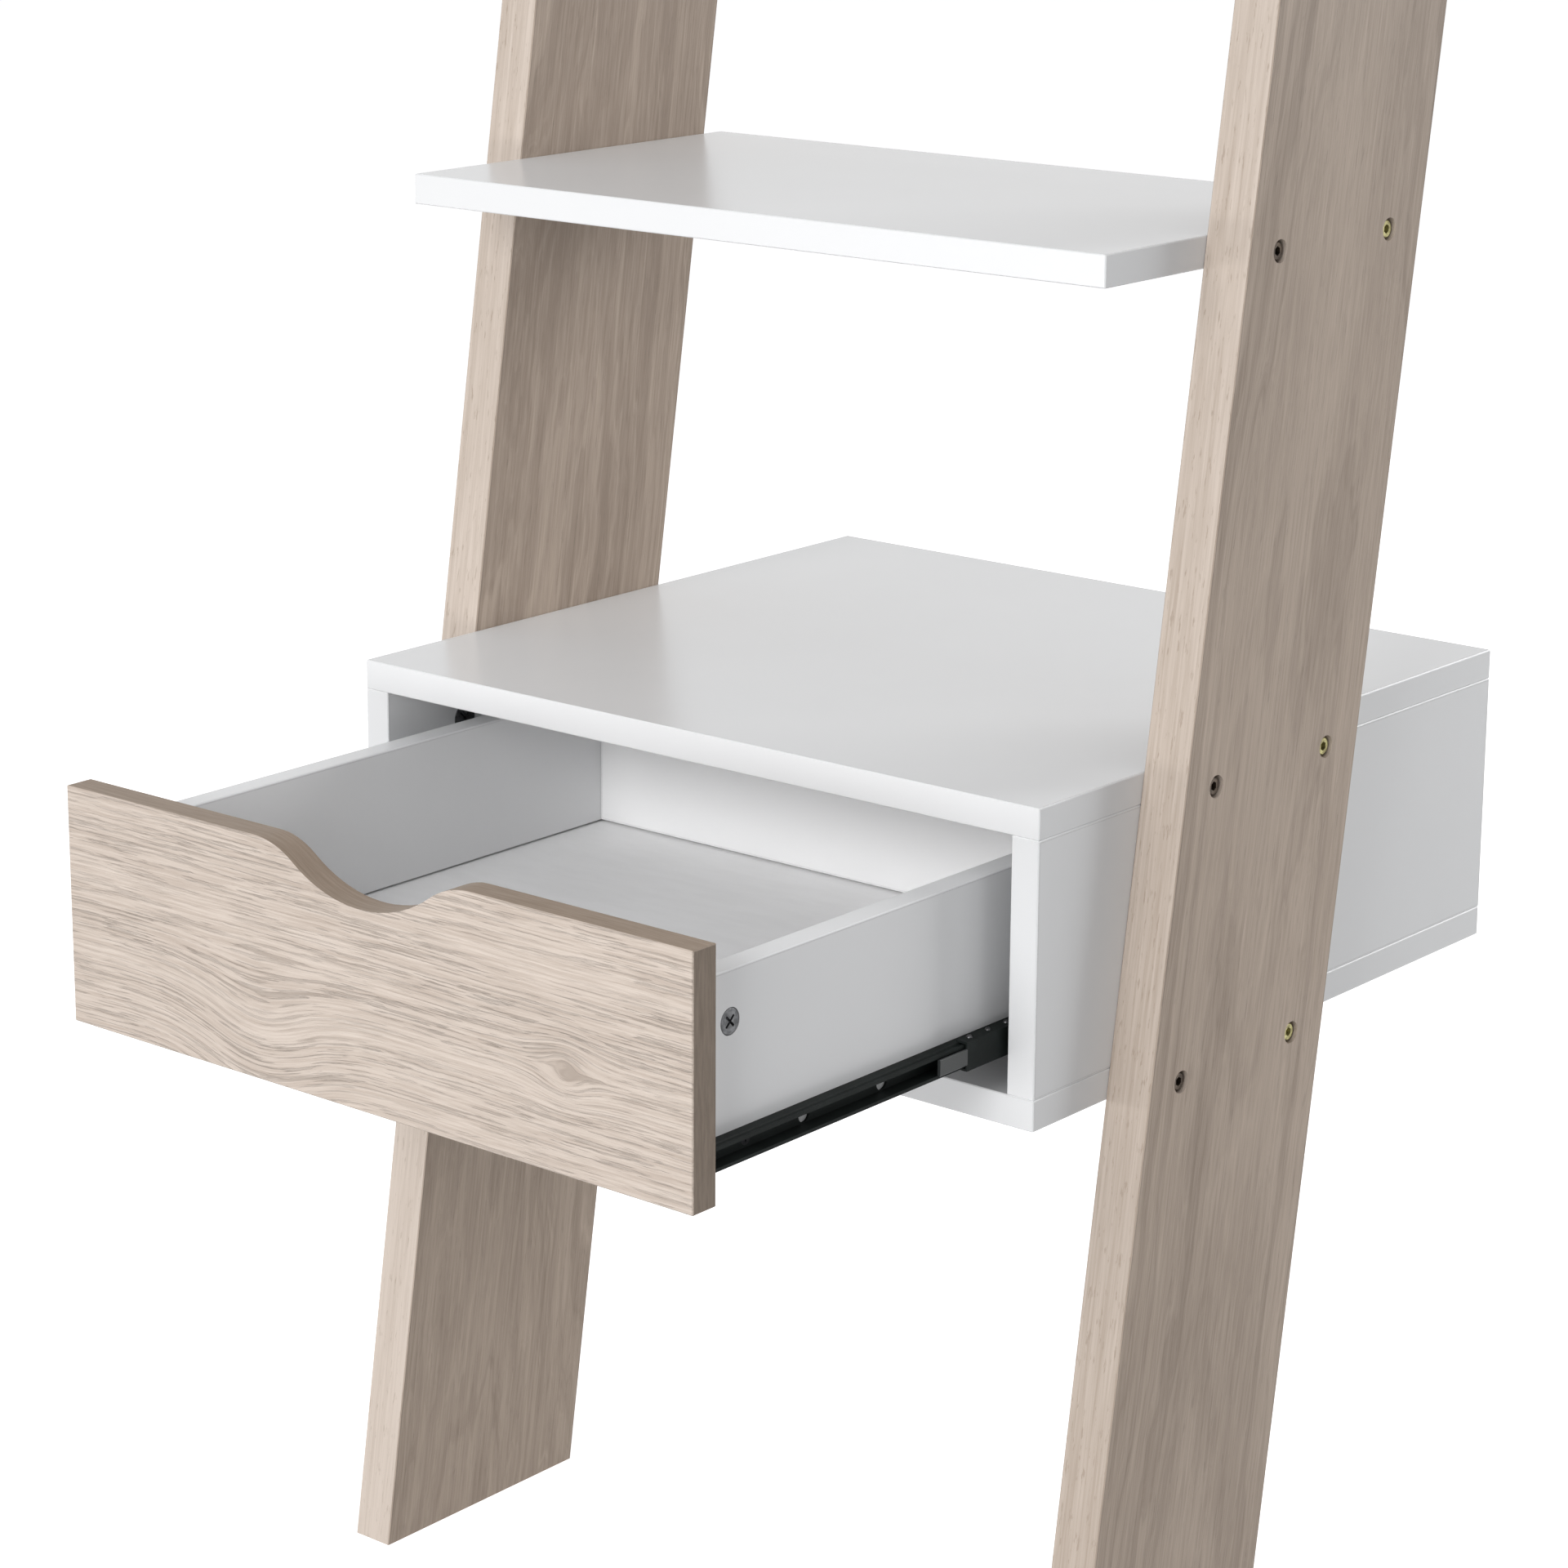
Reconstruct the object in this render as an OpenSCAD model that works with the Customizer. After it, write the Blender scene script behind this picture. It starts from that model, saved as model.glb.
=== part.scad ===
// Leaning ladder shelf: two sloping legs carry four plain shelves and a
// low cabinet with one inset drawer on ball-bearing slides.
// Millimetres, +Z up, +Y towards the wall, +X to the right seen from the front.
// The origin lies on the floor, midway between the left and right sides and
// midway between the wall and the front of the drawer as it stands open.

/* [Ladder] */
// Clear width between the legs, which is the width of shelves and cabinet
inner_w = 420; // [340:5:620]
// Height of the legs
ladder_h = 1540; // [1500:5:1900]
// Lean of the legs, in degrees from upright
lean = 8.9; // [8:0.1:10]
// Distance along the floor from the legs' front corners to the wall
toe_to_wall = 386; // [380:1:420]
// Thickness of a leg
leg_t = 24; // [20:1:32]
// Width of a leg, square to its length
leg_w = 143; // [120:1:180]

/* [Panels] */
// Thickness of shelves and cabinet panels
panel_t = 15; // [15:0.5:19]
// Bevel on the edges of every panel
edge_bevel = 0.5; // [0.2:0.1:1]
// Depth of a shelf, front to back
shelf_d = 236; // [190:1:290]
// Step in height from the cabinet's top to the first shelf and from shelf to shelf
shelf_pitch = 242; // [205:1:250]

/* [Cabinet] */
// Height of the cabinet's underside above the floor
cabinet_z = 337; // [280:1:400]
// Outside height of the cabinet
cabinet_h = 152; // [146:1:190]
// Outside depth of the cabinet
cabinet_d = 390; // [380:1:470]
// Thickness of the cabinet's back and of the drawer's bottom
board_t = 3; // [2.5:0.1:4]

/* [Drawer] */
// How far the drawer stands open at rest
drawer_open = 215; // [170:1:215]
// Farthest that the slides let the drawer out
drawer_travel = 220; // [216:1:230]
// Depth of the drawer with its front
drawer_d = 360; // [330:1:370]
// Thickness of the drawer's front
front_t = 15; // [12:0.5:18]
// Gap beside the drawer's front
front_side_gap = 2.5; // [1.5:0.5:4]
// Gap over the drawer's front
front_top_gap = 2; // [1:0.5:4]
// Gap under the drawer's front
front_bottom_gap = 4.5; // [2:0.5:6]
// Thickness of the drawer's sides and back
side_t = 12; // [11:0.5:15]
// Space under the drawer's sides
side_bottom_gap = 16; // [14:0.5:18]
// Space over the drawer's sides
side_top_gap = 20.5; // [16:0.5:24]
// Height of the drawer's floor above the bottom edge of its sides
floor_rise = 14.2; // [13.5:0.1:16]
// Half the width of the hand scoop
scoop_half_w = 66; // [50:1:80]
// Depth of the hand scoop
scoop_d = 21.5; // [15:0.5:26]
// Radius of the scoop's two shoulders
scoop_shoulder_r = 40; // [10:1:50]

/* [Slides] */
// Width of the gap that each slide fills
slide_gap = 12.5; // [12.5:0.1:13.5]
// Length of both rails
rail_l = 300; // [280:1:320]
// Height of the rails' centre line above the bottom edge of the drawer's sides
rail_rise = 8.3; // [8:0.1:8.8]
// Height of the rail on the drawer
drawer_rail_h = 11; // [10:0.5:12]
// How far the rail on the drawer stands out from it
drawer_rail_d = 8.5; // [8:0.1:8.6]
// Thickness of the rails' webs
rail_web = 1.2; // [1:0.1:1.3]
// Thickness of the rails' flanges
rail_flange = 1.6; // [1.4:0.1:1.8]
// Diameter of a ball
ball_d = 3.2; // [2.8:0.1:3.4]
// Length of the ball cage with its end block
cage_l = 130; // [100:1:150]

/* [Fasteners] */
// Distance from a leg's front edge to the first row of screws
screw_front_inset = 24.5; // [18:0.5:30]
// Distance from a leg's back edge to the second row of screws
screw_back_inset = 27; // [18:0.5:32]
// Length of a leg screw
leg_screw_l = 50; // [45:1:60]
// How deep a leg screw's head lies under the leg's face
screw_sink = 1.5; // [0.5:0.1:2.5]
// Diameter of a wooden dowel
dowel_d = 8; // [6:1:8]
// Length of a wooden dowel
dowel_l = 30; // [25:1:35]
// Distance from a cabinet cam's centre to the top panel
cam_reach = 24; // [22:1:30]
// Distance from the cabinet's front edge to its front cams
cam_inset = 56; // [50:1:64]
// Diameter of the holes for the two wall screws
wall_hole_d = 5.5; // [4:0.5:7]
// Distance between the two wall screws
wall_hole_spacing = 300; // [200:5:320]

/* [Hidden] */
$fn = 48;

// Clearances
hole_clear = 0.1;       // round a screw or dowel in its hole, on the diameter
through_clear = 0.4;    // round a shank in its through hole, on the diameter
board_clear = 0.2;      // between a thin board and its groove, each side
floor_gap = 1.1;        // shadow gap over the drawer's floor
cam_clear = 0.4;        // round a cam in its pocket, on the diameter
ball_clear = 0.05;      // between a ball and its race
end_room = 2;           // empty depth past a screw's tip or under a cam
eps = 0.01;

// Fixed sizes of bought parts
head_d = 8.6;           // leg screw's head
head_h = 3.2;
head_bore_d = 11;
socket_af = 4;          // hex socket, across flats
socket_depth = 2.8;
shank_d = 7;
shank_reach = 15.7;     // from the head's top to the shank's end
thread_d = 6.4;
small_d = 3.5;          // small countersunk screws
small_head_d = 5.9;
cabinet_cam_d = 15;
drawer_cam_d = 12;
cam_bolt_d = 6;
cam_slot_d = 7;         // tunnel in a cam for its bolt's end
drawer_dowel_d = 6;
drawer_dowel_l = 24;

// Ladder
half_w = inner_w / 2;
leg_run = leg_w / cos(lean);
shelf_count = 4;
function lean_y(z) = z * tan(lean);
function shelf_top(i) = cabinet_z + cabinet_h + i * shelf_pitch;
function shelf_back(i) = toe_to_wall - lean_y((shelf_count - i) * shelf_pitch);
joint_heights = [cabinet_z + panel_t / 2, cabinet_z + cabinet_h - panel_t / 2,
    for (i = [1:shelf_count]) shelf_top(i) - panel_t / 2];
function screw_ys(z) = [lean_y(z) + screw_front_inset / cos(lean),
    lean_y(z) + leg_run - screw_back_inset / cos(lean)];
function dowel_y(z) = (screw_ys(z)[0] + screw_ys(z)[1]) / 2;
screw_bore_l = leg_screw_l + screw_sink - leg_t + end_room;
leg_dowel_depth = min(leg_t - 11, dowel_l / 2);

// Cabinet
cabinet_y0 = toe_to_wall - cabinet_d;
inside_w = half_w - panel_t;
inside_z0 = cabinet_z + panel_t;
inside_z1 = cabinet_z + cabinet_h - panel_t;
groove_depth = 6;
groove_hold = 5;
back_setback = 8;
back_y = toe_to_wall - back_setback - board_t;
side_x = half_w - panel_t / 2;
cam_ys = [cabinet_y0 + cam_inset, toe_to_wall - cam_inset + 6];
bolt_thread_l = 9;
dowel_inset = 26;
side_dowel_ys = [cabinet_y0 + dowel_inset, toe_to_wall - dowel_inset];
side_dowel_depth = 9;
bottom_screw_ys = [cabinet_y0 + 64, toe_to_wall - 50];
bottom_screw_l = 45;

// Drawer, as it stands open
drawer_y0 = cabinet_y0 - drawer_open;
frame_y = (drawer_y0 + toe_to_wall) / 2;
front_back_y = drawer_y0 + front_t;
drawer_y1 = drawer_y0 + drawer_d;
box_w = inside_w - slide_gap;
box_inside_w = box_w - side_t;
front_half_w = inside_w - front_side_gap;
front_z0 = inside_z0 + front_bottom_gap;
front_z1 = inside_z1 - front_top_gap;
side_z0 = inside_z0 + side_bottom_gap;
side_z1 = inside_z1 - side_top_gap;
floor_z1 = side_z0 + floor_rise;
floor_z0 = floor_z1 - board_t;
drawer_cam_reach = 20.5;
drawer_cam_drop = 23;
drawer_cam_z = side_z1 - drawer_cam_drop;
drawer_bolt_thread_l = 9;
drawer_dowel_z = floor_z1 + 14;
drawer_dowel_hold = 10;
back_screw_zs = [floor_z1 + 16, side_z1 - 14];
back_screw_l = 32;
bottom_screw_x = 65;    // screws from below through the drawer's bottom into its back
floor_screw_l = 16;

// Hand scoop: a wide arc that two shoulder arcs lead into
scoop_r = (pow(scoop_half_w, 2) + pow(scoop_d, 2)) / (2 * scoop_d) - scoop_shoulder_r;
scoop_blend_drop = scoop_d - scoop_r
    + sqrt(pow(scoop_r, 2) - pow(scoop_half_w * scoop_r / (scoop_r + scoop_shoulder_r), 2));

// Slides, measured outwards from the drawer's side
rail_z = side_z0 + rail_rise;
rail_setback = 1.5;
cabinet_rail_y0 = cabinet_y0 + front_t + rail_setback;
drawer_rail_y0 = front_back_y + rail_setback;
ball_u = 6;
groove_bite = 0.7;
ball_w = drawer_rail_h / 2 - groove_bite + ball_d / 2;
race_r = ball_d / 2 + ball_clear;
arm_gap = 0.4;
arm_t = 1;
cabinet_rail_inside_h = drawer_rail_h + 2 * (2 * arm_gap + arm_t);
cabinet_rail_u0 = 3.6;
cage_u0 = 3.9;
cage_u1 = 10;
cage_plate_t = 0.8;
cage_arm_w0 = drawer_rail_h / 2 + arm_gap;
cage_arm_w1 = cage_arm_w0 + arm_t;
block_l = 20;
block_u0 = 8.8;
block_u1 = 10.4;
block_half_h = 3.9;
cage_closed_inset = 44;
cage_y0 = cabinet_rail_y0 + cage_closed_inset - drawer_open / 2;
balls_per_arm = 8;
ball_step = (cage_l - block_l - 14) / (balls_per_arm - 1);
drawer_rail_screws_at = [28, 178, 270];
cabinet_rail_screws_at = [25, 150, 270];
drawer_rail_holes_at = [67, 121, 228];
drawer_rail_hole_d = 7.4;
drawer_rail_screw_l = 11;
cabinet_rail_screw_l = 13;
stop_t = 1.2;
stop_gap = 0.8;

// Wall brackets under the top shelf
bracket_w = 20;
bracket_l = 40;
bracket_t = 2;
bracket_drop = 25;
bracket_screws_at = [12, 28];
bracket_screw_l = 13;
top_underside = shelf_top(shelf_count) - panel_t;

// ---------------------------------------------------------------- helpers

module place() {
    translate([0, -frame_y, 0]) children();
}

module bevelled_rect(w, h, c) {
    polygon([[c, 0], [w - c, 0], [w, c], [w, h - c], [w - c, h], [c, h], [0, h - c], [0, c]]);
}

// A box between two corners with all twelve edges bevelled
module panel(lo, hi, c = edge_bevel) {
    d = hi - lo;
    translate(lo) intersection() {
        linear_extrude(d.z) bevelled_rect(d.x, d.y, c);
        translate([0, d.y, 0]) rotate([90, 0, 0]) linear_extrude(d.y) bevelled_rect(d.x, d.z, c);
        rotate([90, 0, 90]) linear_extrude(d.x) bevelled_rect(d.y, d.z, c);
    }
}

module box(lo, hi) {
    translate(lo) cube(hi - lo);
}

// Draws its children once as they are and once mirrored left to right
module both_sides() {
    children();
    mirror([1, 0, 0]) children();
}

// A cylinder along +X, +Y or +Z from a point
module rod_x(p, d, l) {
    translate(p) rotate([0, 90, 0]) cylinder(d = d, h = l);
}
module rod_y(p, d, l) {
    translate(p) rotate([-90, 0, 0]) cylinder(d = d, h = l);
}
module rod_z(p, d, l) {
    translate(p) cylinder(d = d, h = l);
}

// Furniture screw with a flat socket head; the head's top is at z = 0 and the screw points down
module socket_screw(l) {
    difference() {
        rotate_extrude() polygon([[0, 0], [head_d / 2 - 0.5, 0], [head_d / 2, -0.5], [head_d / 2, -head_h],
            [shank_d / 2, -head_h], [shank_d / 2, 0.5 - shank_reach], [thread_d / 2, -shank_reach],
            [thread_d / 2, -l + 4], [1.2, -l], [0, -l]]);
        translate([0, 0, -socket_depth]) cylinder(d = socket_af / cos(30), h = socket_depth + 1, $fn = 6);
    }
}

// Small countersunk screw with a cross recess; the head's top is at z = 0
module small_screw(l) {
    cone_h = (small_head_d - small_d) / 2;
    difference() {
        rotate_extrude() polygon([[0, 0], [small_head_d / 2, 0], [small_d / 2, -cone_h],
            [small_d / 2, -l + 3], [0.5, -l], [0, -l]]);
        for (a = [0, 90]) rotate([0, 0, a]) translate([-1.5, -0.4, -0.9]) cube([3, 0.8, 1]);
    }
}

// What a small screw needs cut out of the pieces that it holds
module small_screw_hole(l) {
    d = small_d + hole_clear;
    cone_h = (small_head_d - small_d) / 2;
    translate([0, 0, -l - 1]) cylinder(d = d, h = l + 2);
    translate([0, 0, -cone_h]) cylinder(d1 = d, d2 = small_head_d + hole_clear, h = cone_h + eps);
}

// Wooden dowel with bevelled ends, centred on the origin along Z
module dowel(d, l) {
    rotate_extrude() polygon([[0, -l / 2], [d / 2 - 1, -l / 2], [d / 2, -l / 2 + 1],
        [d / 2, l / 2 - 1], [d / 2 - 1, l / 2], [0, l / 2]]);
}

// Cam lock: face at z = 0, body below; its bolt comes in along +Y at the given depth
module cam(d, h, depth) {
    difference() {
        rotate_extrude() polygon([[0, 0], [d / 2 - 0.4, 0], [d / 2, -0.4], [d / 2, -h], [0, -h]]);
        for (a = [45, 135]) rotate([0, 0, a]) translate([-d / 3.4, -0.6, -1.8]) cube([d / 1.7, 1.2, 2]);
        translate([0, -2.2, -depth]) rotate([-90, 0, 0]) cylinder(d = cam_slot_d, h = d);
    }
}

// Cam bolt along +Y: its head lies near the cam's centre, its thread past the joint at y = reach
module cam_bolt(reach, thread_l) {
    rotate([-90, 0, 0]) rotate_extrude() polygon([[0, -1.5], [3, -1.5], [3, 0.6], [2, 1.4], [2, 3.4],
        [cam_bolt_d / 2, 4.6], [cam_bolt_d / 2, reach - 0.5], [cam_bolt_d / 2 + 0.4, reach + 0.2],
        [cam_bolt_d / 2 - 0.5, reach + 1], [cam_bolt_d / 2 - 0.5, reach + thread_l - 1],
        [1, reach + thread_l], [0, reach + thread_l]]);
}

// Turns for a cam: in the right cabinet side's inner face with its bolt upwards,
// and in the right drawer side's outer face with its bolt forwards
module face_in_bolt_up() {
    rotate([90, 0, -90]) children();
}
module face_out_bolt_forward() {
    rotate([180, 0, 0]) rotate([0, 90, 0]) children();
}

// ---------------------------------------------------------------- legs

// Leg on the right; its outline leans back and is cut level at floor and top, and flush at the wall
module leg_solid() {
    reach = (ladder_h + leg_w) / cos(lean);
    difference() {
        intersection() {
            translate([half_w, 0, 0]) rotate([-lean, 0, 0]) translate([0, 0, -leg_w])
                linear_extrude(reach + leg_w) bevelled_rect(leg_t, leg_w, edge_bevel);
            box([half_w - 1, -1, 0], [half_w + leg_t + 1, toe_to_wall, ladder_h]);
        }
        for (z = joint_heights) {
            for (y = screw_ys(z)) {
                rod_x([half_w + leg_t - screw_sink - head_h, y, z], head_bore_d, 20);
                rod_x([half_w - 1, y, z], shank_d + through_clear, leg_t);
            }
            rod_x([half_w - 1, dowel_y(z), z], dowel_d + hole_clear, leg_dowel_depth + 1.5);
        }
    }
}

module left_leg() {
    color("#a3968a") place() mirror([1, 0, 0]) leg_solid();
}

module right_leg() {
    color("#a3968a") place() leg_solid();
}

module leg_screws() {
    for (z = joint_heights, y = screw_ys(z))
        translate([half_w + leg_t - screw_sink, y, z]) rotate([0, 90, 0]) socket_screw(leg_screw_l);
}

module left_leg_screws() {
    color("#c9b86a") place() mirror([1, 0, 0]) leg_screws();
}

module right_leg_screws() {
    color("#c9b86a") place() leg_screws();
}

module leg_dowels() {
    color("#d9c39a") place() both_sides() for (z = joint_heights)
        translate([half_w + leg_dowel_depth - dowel_l / 2, dowel_y(z), z]) rotate([0, 90, 0])
            dowel(dowel_d, dowel_l);
}

// Holes in both ends of a level panel whose middle is at height z
module panel_end_holes(z) {
    both_sides() {
        for (y = screw_ys(z)) rod_x([half_w - screw_bore_l, y, z], thread_d + hole_clear, screw_bore_l + 1);
        rod_x([half_w - dowel_l + leg_dowel_depth - 1, dowel_y(z), z], dowel_d + hole_clear, dowel_l);
    }
}

// ---------------------------------------------------------------- shelves

module shelf(i) {
    z = shelf_top(i);
    difference() {
        panel([-half_w, shelf_back(i) - shelf_d, z - panel_t], [half_w, shelf_back(i), z]);
        panel_end_holes(z - panel_t / 2);
    }
}

module shelf_1() {
    color("#eceef1") place() shelf(1);
}

module shelf_2() {
    color("#eceef1") place() shelf(2);
}

module shelf_3() {
    color("#eceef1") place() shelf(3);
}

module shelf_4() {
    color("#eceef1") place() difference() {
        shelf(4);
        bracket_screw_places() small_screw_hole(bracket_screw_l);
    }
}

// ---------------------------------------------------------------- cabinet

module back_groove() {
    box([-inside_w - groove_depth, back_y - board_clear, inside_z0 - groove_depth],
        [inside_w + groove_depth, back_y + board_t + board_clear, inside_z1 + groove_depth]);
}

module side_dowel_holes() {
    for (y = side_dowel_ys, z = [inside_z0, inside_z1])
        rod_z([side_x, y, z - dowel_l / 2], dowel_d + hole_clear, dowel_l);
}

module cabinet_top() {
    color("#eceef1") place() difference() {
        panel([-half_w, cabinet_y0, inside_z1], [half_w, toe_to_wall, inside_z1 + panel_t]);
        panel_end_holes(inside_z1 + panel_t / 2);
        back_groove();
        both_sides() {
            for (y = cam_ys) rod_z([side_x, y, inside_z1 - 1], cam_bolt_d + 1, bolt_thread_l + 2);
            for (y = side_dowel_ys)
                rod_z([side_x, y, inside_z1 - 1], dowel_d + hole_clear, side_dowel_depth + 1.5);
        }
    }
}

module cabinet_bottom() {
    color("#eceef1") place() difference() {
        panel([-half_w, cabinet_y0, cabinet_z], [half_w, toe_to_wall, inside_z0]);
        panel_end_holes(cabinet_z + panel_t / 2);
        back_groove();
        both_sides() {
            for (y = bottom_screw_ys) {
                rod_z([side_x, y, cabinet_z - 1], shank_d + through_clear, panel_t + 2);
                rod_z([side_x, y, cabinet_z - 1], head_bore_d, screw_sink + head_h + 1);
            }
            for (y = side_dowel_ys)
                rod_z([side_x, y, inside_z0 - side_dowel_depth - 0.5], dowel_d + hole_clear, side_dowel_depth + 1);
        }
    }
}

module cabinet_side() {
    side_dowel_l = dowel_l - side_dowel_depth + 0.5;
    difference() {
        panel([inside_w, cabinet_y0, inside_z0], [half_w, toe_to_wall, inside_z1]);
        back_groove();
        for (y = cam_ys) {
            rod_x([inside_w - 1, y, inside_z1 - cam_reach], cabinet_cam_d + cam_clear, panel_t - 1);
            rod_z([side_x, y, inside_z1 - cam_reach], cam_bolt_d + 1, cam_reach + 1);
        }
        for (y = side_dowel_ys) {
            rod_z([side_x, y, inside_z0 - 1], dowel_d + hole_clear, side_dowel_l + 1);
            rod_z([side_x, y, inside_z1 - side_dowel_l], dowel_d + hole_clear, side_dowel_l + 1);
        }
        for (y = bottom_screw_ys) {
            rod_z([side_x, y, inside_z0 - 1], thread_d + hole_clear, bottom_screw_l - panel_t + end_room + 3);
            rod_z([side_x, y, cabinet_z], shank_d + through_clear, screw_sink + shank_reach + 0.5);
        }
        cabinet_rail_screw_places() small_screw_hole(cabinet_rail_screw_l);
    }
}

module cabinet_left_side() {
    color("#e3e5e8") place() mirror([1, 0, 0]) cabinet_side();
}

module cabinet_right_side() {
    color("#e3e5e8") place() cabinet_side();
}

module cabinet_back() {
    color("#dfe1e4") place() box([-inside_w - groove_hold, back_y, inside_z0 - groove_hold],
        [inside_w + groove_hold, back_y + board_t, inside_z1 + groove_hold]);
}

module cabinet_cams() {
    color("#5a5c60") place() both_sides() for (y = cam_ys)
        translate([inside_w, y, inside_z1 - cam_reach]) face_in_bolt_up()
            cam(cabinet_cam_d, panel_t - 3, panel_t / 2);
}

module cabinet_cam_bolts() {
    color("#b9bbbf") place() both_sides() for (y = cam_ys)
        translate([side_x, y, inside_z1 - cam_reach]) rotate([90, 0, 0]) cam_bolt(cam_reach, bolt_thread_l);
}

module cabinet_dowels() {
    shift = side_dowel_depth - dowel_l / 2;
    color("#d9c39a") place() both_sides() for (y = side_dowel_ys) {
        translate([side_x, y, inside_z0 - shift]) dowel(dowel_d, dowel_l);
        translate([side_x, y, inside_z1 + shift]) dowel(dowel_d, dowel_l);
    }
}

module cabinet_bottom_screws() {
    color("#c9b86a") place() both_sides() for (y = bottom_screw_ys)
        translate([side_x, y, cabinet_z + screw_sink]) rotate([180, 0, 0]) socket_screw(bottom_screw_l);
}

// ---------------------------------------------------------------- slides

// Draws a section, given as distance from the drawer's side and height from the
// rail's centre line, along +Y on the right-hand side
module along_slide(y, l) {
    translate([box_w, y + l, rail_z]) rotate([90, 0, 0]) linear_extrude(l) children();
}

module ball_races() {
    for (s = [-1, 1]) translate([ball_u, s * ball_w]) circle(r = race_r);
}

module drawer_rail_section() {
    h = drawer_rail_h;
    difference() {
        translate([0, -h / 2]) square([drawer_rail_d, h]);
        translate([rail_web, rail_flange - h / 2]) square([drawer_rail_d, h - 2 * rail_flange]);
        ball_races();
    }
}

module cabinet_rail_section() {
    h = cabinet_rail_inside_h;
    d = slide_gap - cabinet_rail_u0;
    difference() {
        translate([cabinet_rail_u0, -h / 2 - rail_flange]) square([d, h + 2 * rail_flange]);
        translate([cabinet_rail_u0 - 1, -h / 2]) square([d - rail_web + 1, h]);
        ball_races();
    }
}

module cage_section() {
    d = cage_u1 - cage_u0;
    difference() {
        translate([cage_u0, -cage_arm_w1]) square([d, 2 * cage_arm_w1]);
        translate([cage_u0 - 1, -cage_arm_w0]) square([d - cage_plate_t + 1, 2 * cage_arm_w0]);
    }
}

// Places for screws: z = 0 is the web's inner face and the screw points down
module drawer_rail_screw_places() {
    for (a = drawer_rail_screws_at)
        translate([box_w + rail_web, drawer_rail_y0 + a, rail_z]) rotate([0, 90, 0]) children();
}

module cabinet_rail_screw_places() {
    for (a = cabinet_rail_screws_at)
        translate([inside_w - rail_web, cabinet_rail_y0 + a, rail_z]) rotate([0, -90, 0]) children();
}

module drawer_rail() {
    difference() {
        along_slide(drawer_rail_y0, rail_l) drawer_rail_section();
        drawer_rail_screw_places() small_screw_hole(drawer_rail_screw_l);
        for (a = drawer_rail_holes_at)
            rod_x([box_w - 1, drawer_rail_y0 + a, rail_z], drawer_rail_hole_d, rail_web + 1.5);
    }
}

module cabinet_rail() {
    stop_y = cabinet_rail_y0 + rail_l + stop_gap;
    difference() {
        along_slide(cabinet_rail_y0, rail_l + stop_gap + stop_t) cabinet_rail_section();
        cabinet_rail_screw_places() small_screw_hole(cabinet_rail_screw_l);
    }
    // Stop tab that the drawer's rail meets when shut
    box([box_w + cabinet_rail_u0, stop_y, rail_z - 3], [inside_w - rail_web + eps, stop_y + stop_t, rail_z + 3]);
}

module ball_places() {
    for (s = [-1, 1], i = [0:balls_per_arm - 1])
        translate([box_w + ball_u, cage_y0 + block_l + 7 + i * ball_step, rail_z + s * ball_w]) children();
}

module ball_cage() {
    difference() {
        along_slide(cage_y0 + block_l, cage_l - block_l) cage_section();
        ball_places() cylinder(d = ball_d + 2 * hole_clear, h = 3 * arm_t, center = true);
    }
}

module cage_block() {
    along_slide(cage_y0, block_l) translate([block_u0, -block_half_h])
        bevelled_rect(block_u1 - block_u0, 2 * block_half_h, 0.4);
}

module left_cabinet_rail() {
    color("#26282a") place() mirror([1, 0, 0]) cabinet_rail();
}

module right_cabinet_rail() {
    color("#26282a") place() cabinet_rail();
}

module cabinet_rail_screws() {
    color("#2e3033") place() both_sides() cabinet_rail_screw_places() small_screw(cabinet_rail_screw_l);
}

module left_ball_cage() {
    color("#3a3c3f") place() mirror([1, 0, 0]) ball_cage();
}

module right_ball_cage() {
    color("#3a3c3f") place() ball_cage();
}

module left_balls() {
    color("#c8cacd") place() mirror([1, 0, 0]) ball_places() sphere(d = ball_d);
}

module right_balls() {
    color("#c8cacd") place() ball_places() sphere(d = ball_d);
}

module left_cage_block() {
    color("#6c6f72") place() mirror([1, 0, 0]) cage_block();
}

module right_cage_block() {
    color("#6c6f72") place() cage_block();
}

module left_drawer_rail() {
    color("#1d1f21") place() mirror([1, 0, 0]) drawer_rail();
}

module right_drawer_rail() {
    color("#1d1f21") place() drawer_rail();
}

module drawer_rail_screws() {
    color("#2e3033") place() both_sides() drawer_rail_screw_places() small_screw(drawer_rail_screw_l);
}

// ---------------------------------------------------------------- drawer

module scoop_cut() {
    y0 = drawer_y0 - 1;
    l = front_t + 2;
    blend_z = front_z1 - scoop_blend_drop;
    intersection() {
        rod_y([0, y0, front_z1 - scoop_d + scoop_r], 2 * scoop_r, l, $fn = 96);
        box([-scoop_half_w, y0, front_z1 - scoop_d - 1], [scoop_half_w, y0 + l, blend_z]);
    }
    difference() {
        box([-scoop_half_w, y0, blend_z - eps], [scoop_half_w, y0 + l, front_z1 + 1]);
        both_sides() rod_y([scoop_half_w, y0 - 1, front_z1 - scoop_shoulder_r], 2 * scoop_shoulder_r, l + 2);
    }
}

module floor_groove() {
    hold = groove_hold + board_clear;
    box([-box_inside_w - hold, front_back_y - hold, floor_z0 - board_clear],
        [box_inside_w + hold, drawer_y1 + 1, floor_z1 + floor_gap]);
}

module drawer_cam_places() {
    translate([box_w, front_back_y + drawer_cam_reach, drawer_cam_z]) face_out_bolt_forward() children();
}

module back_screw_places() {
    for (z = back_screw_zs)
        translate([box_w, drawer_y1 - side_t / 2, z]) rotate([0, 90, 0]) children();
}

module bottom_screw_places() {
    both_sides() translate([bottom_screw_x, drawer_y1 - side_t / 2, floor_z0]) rotate([180, 0, 0]) children();
}

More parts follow.
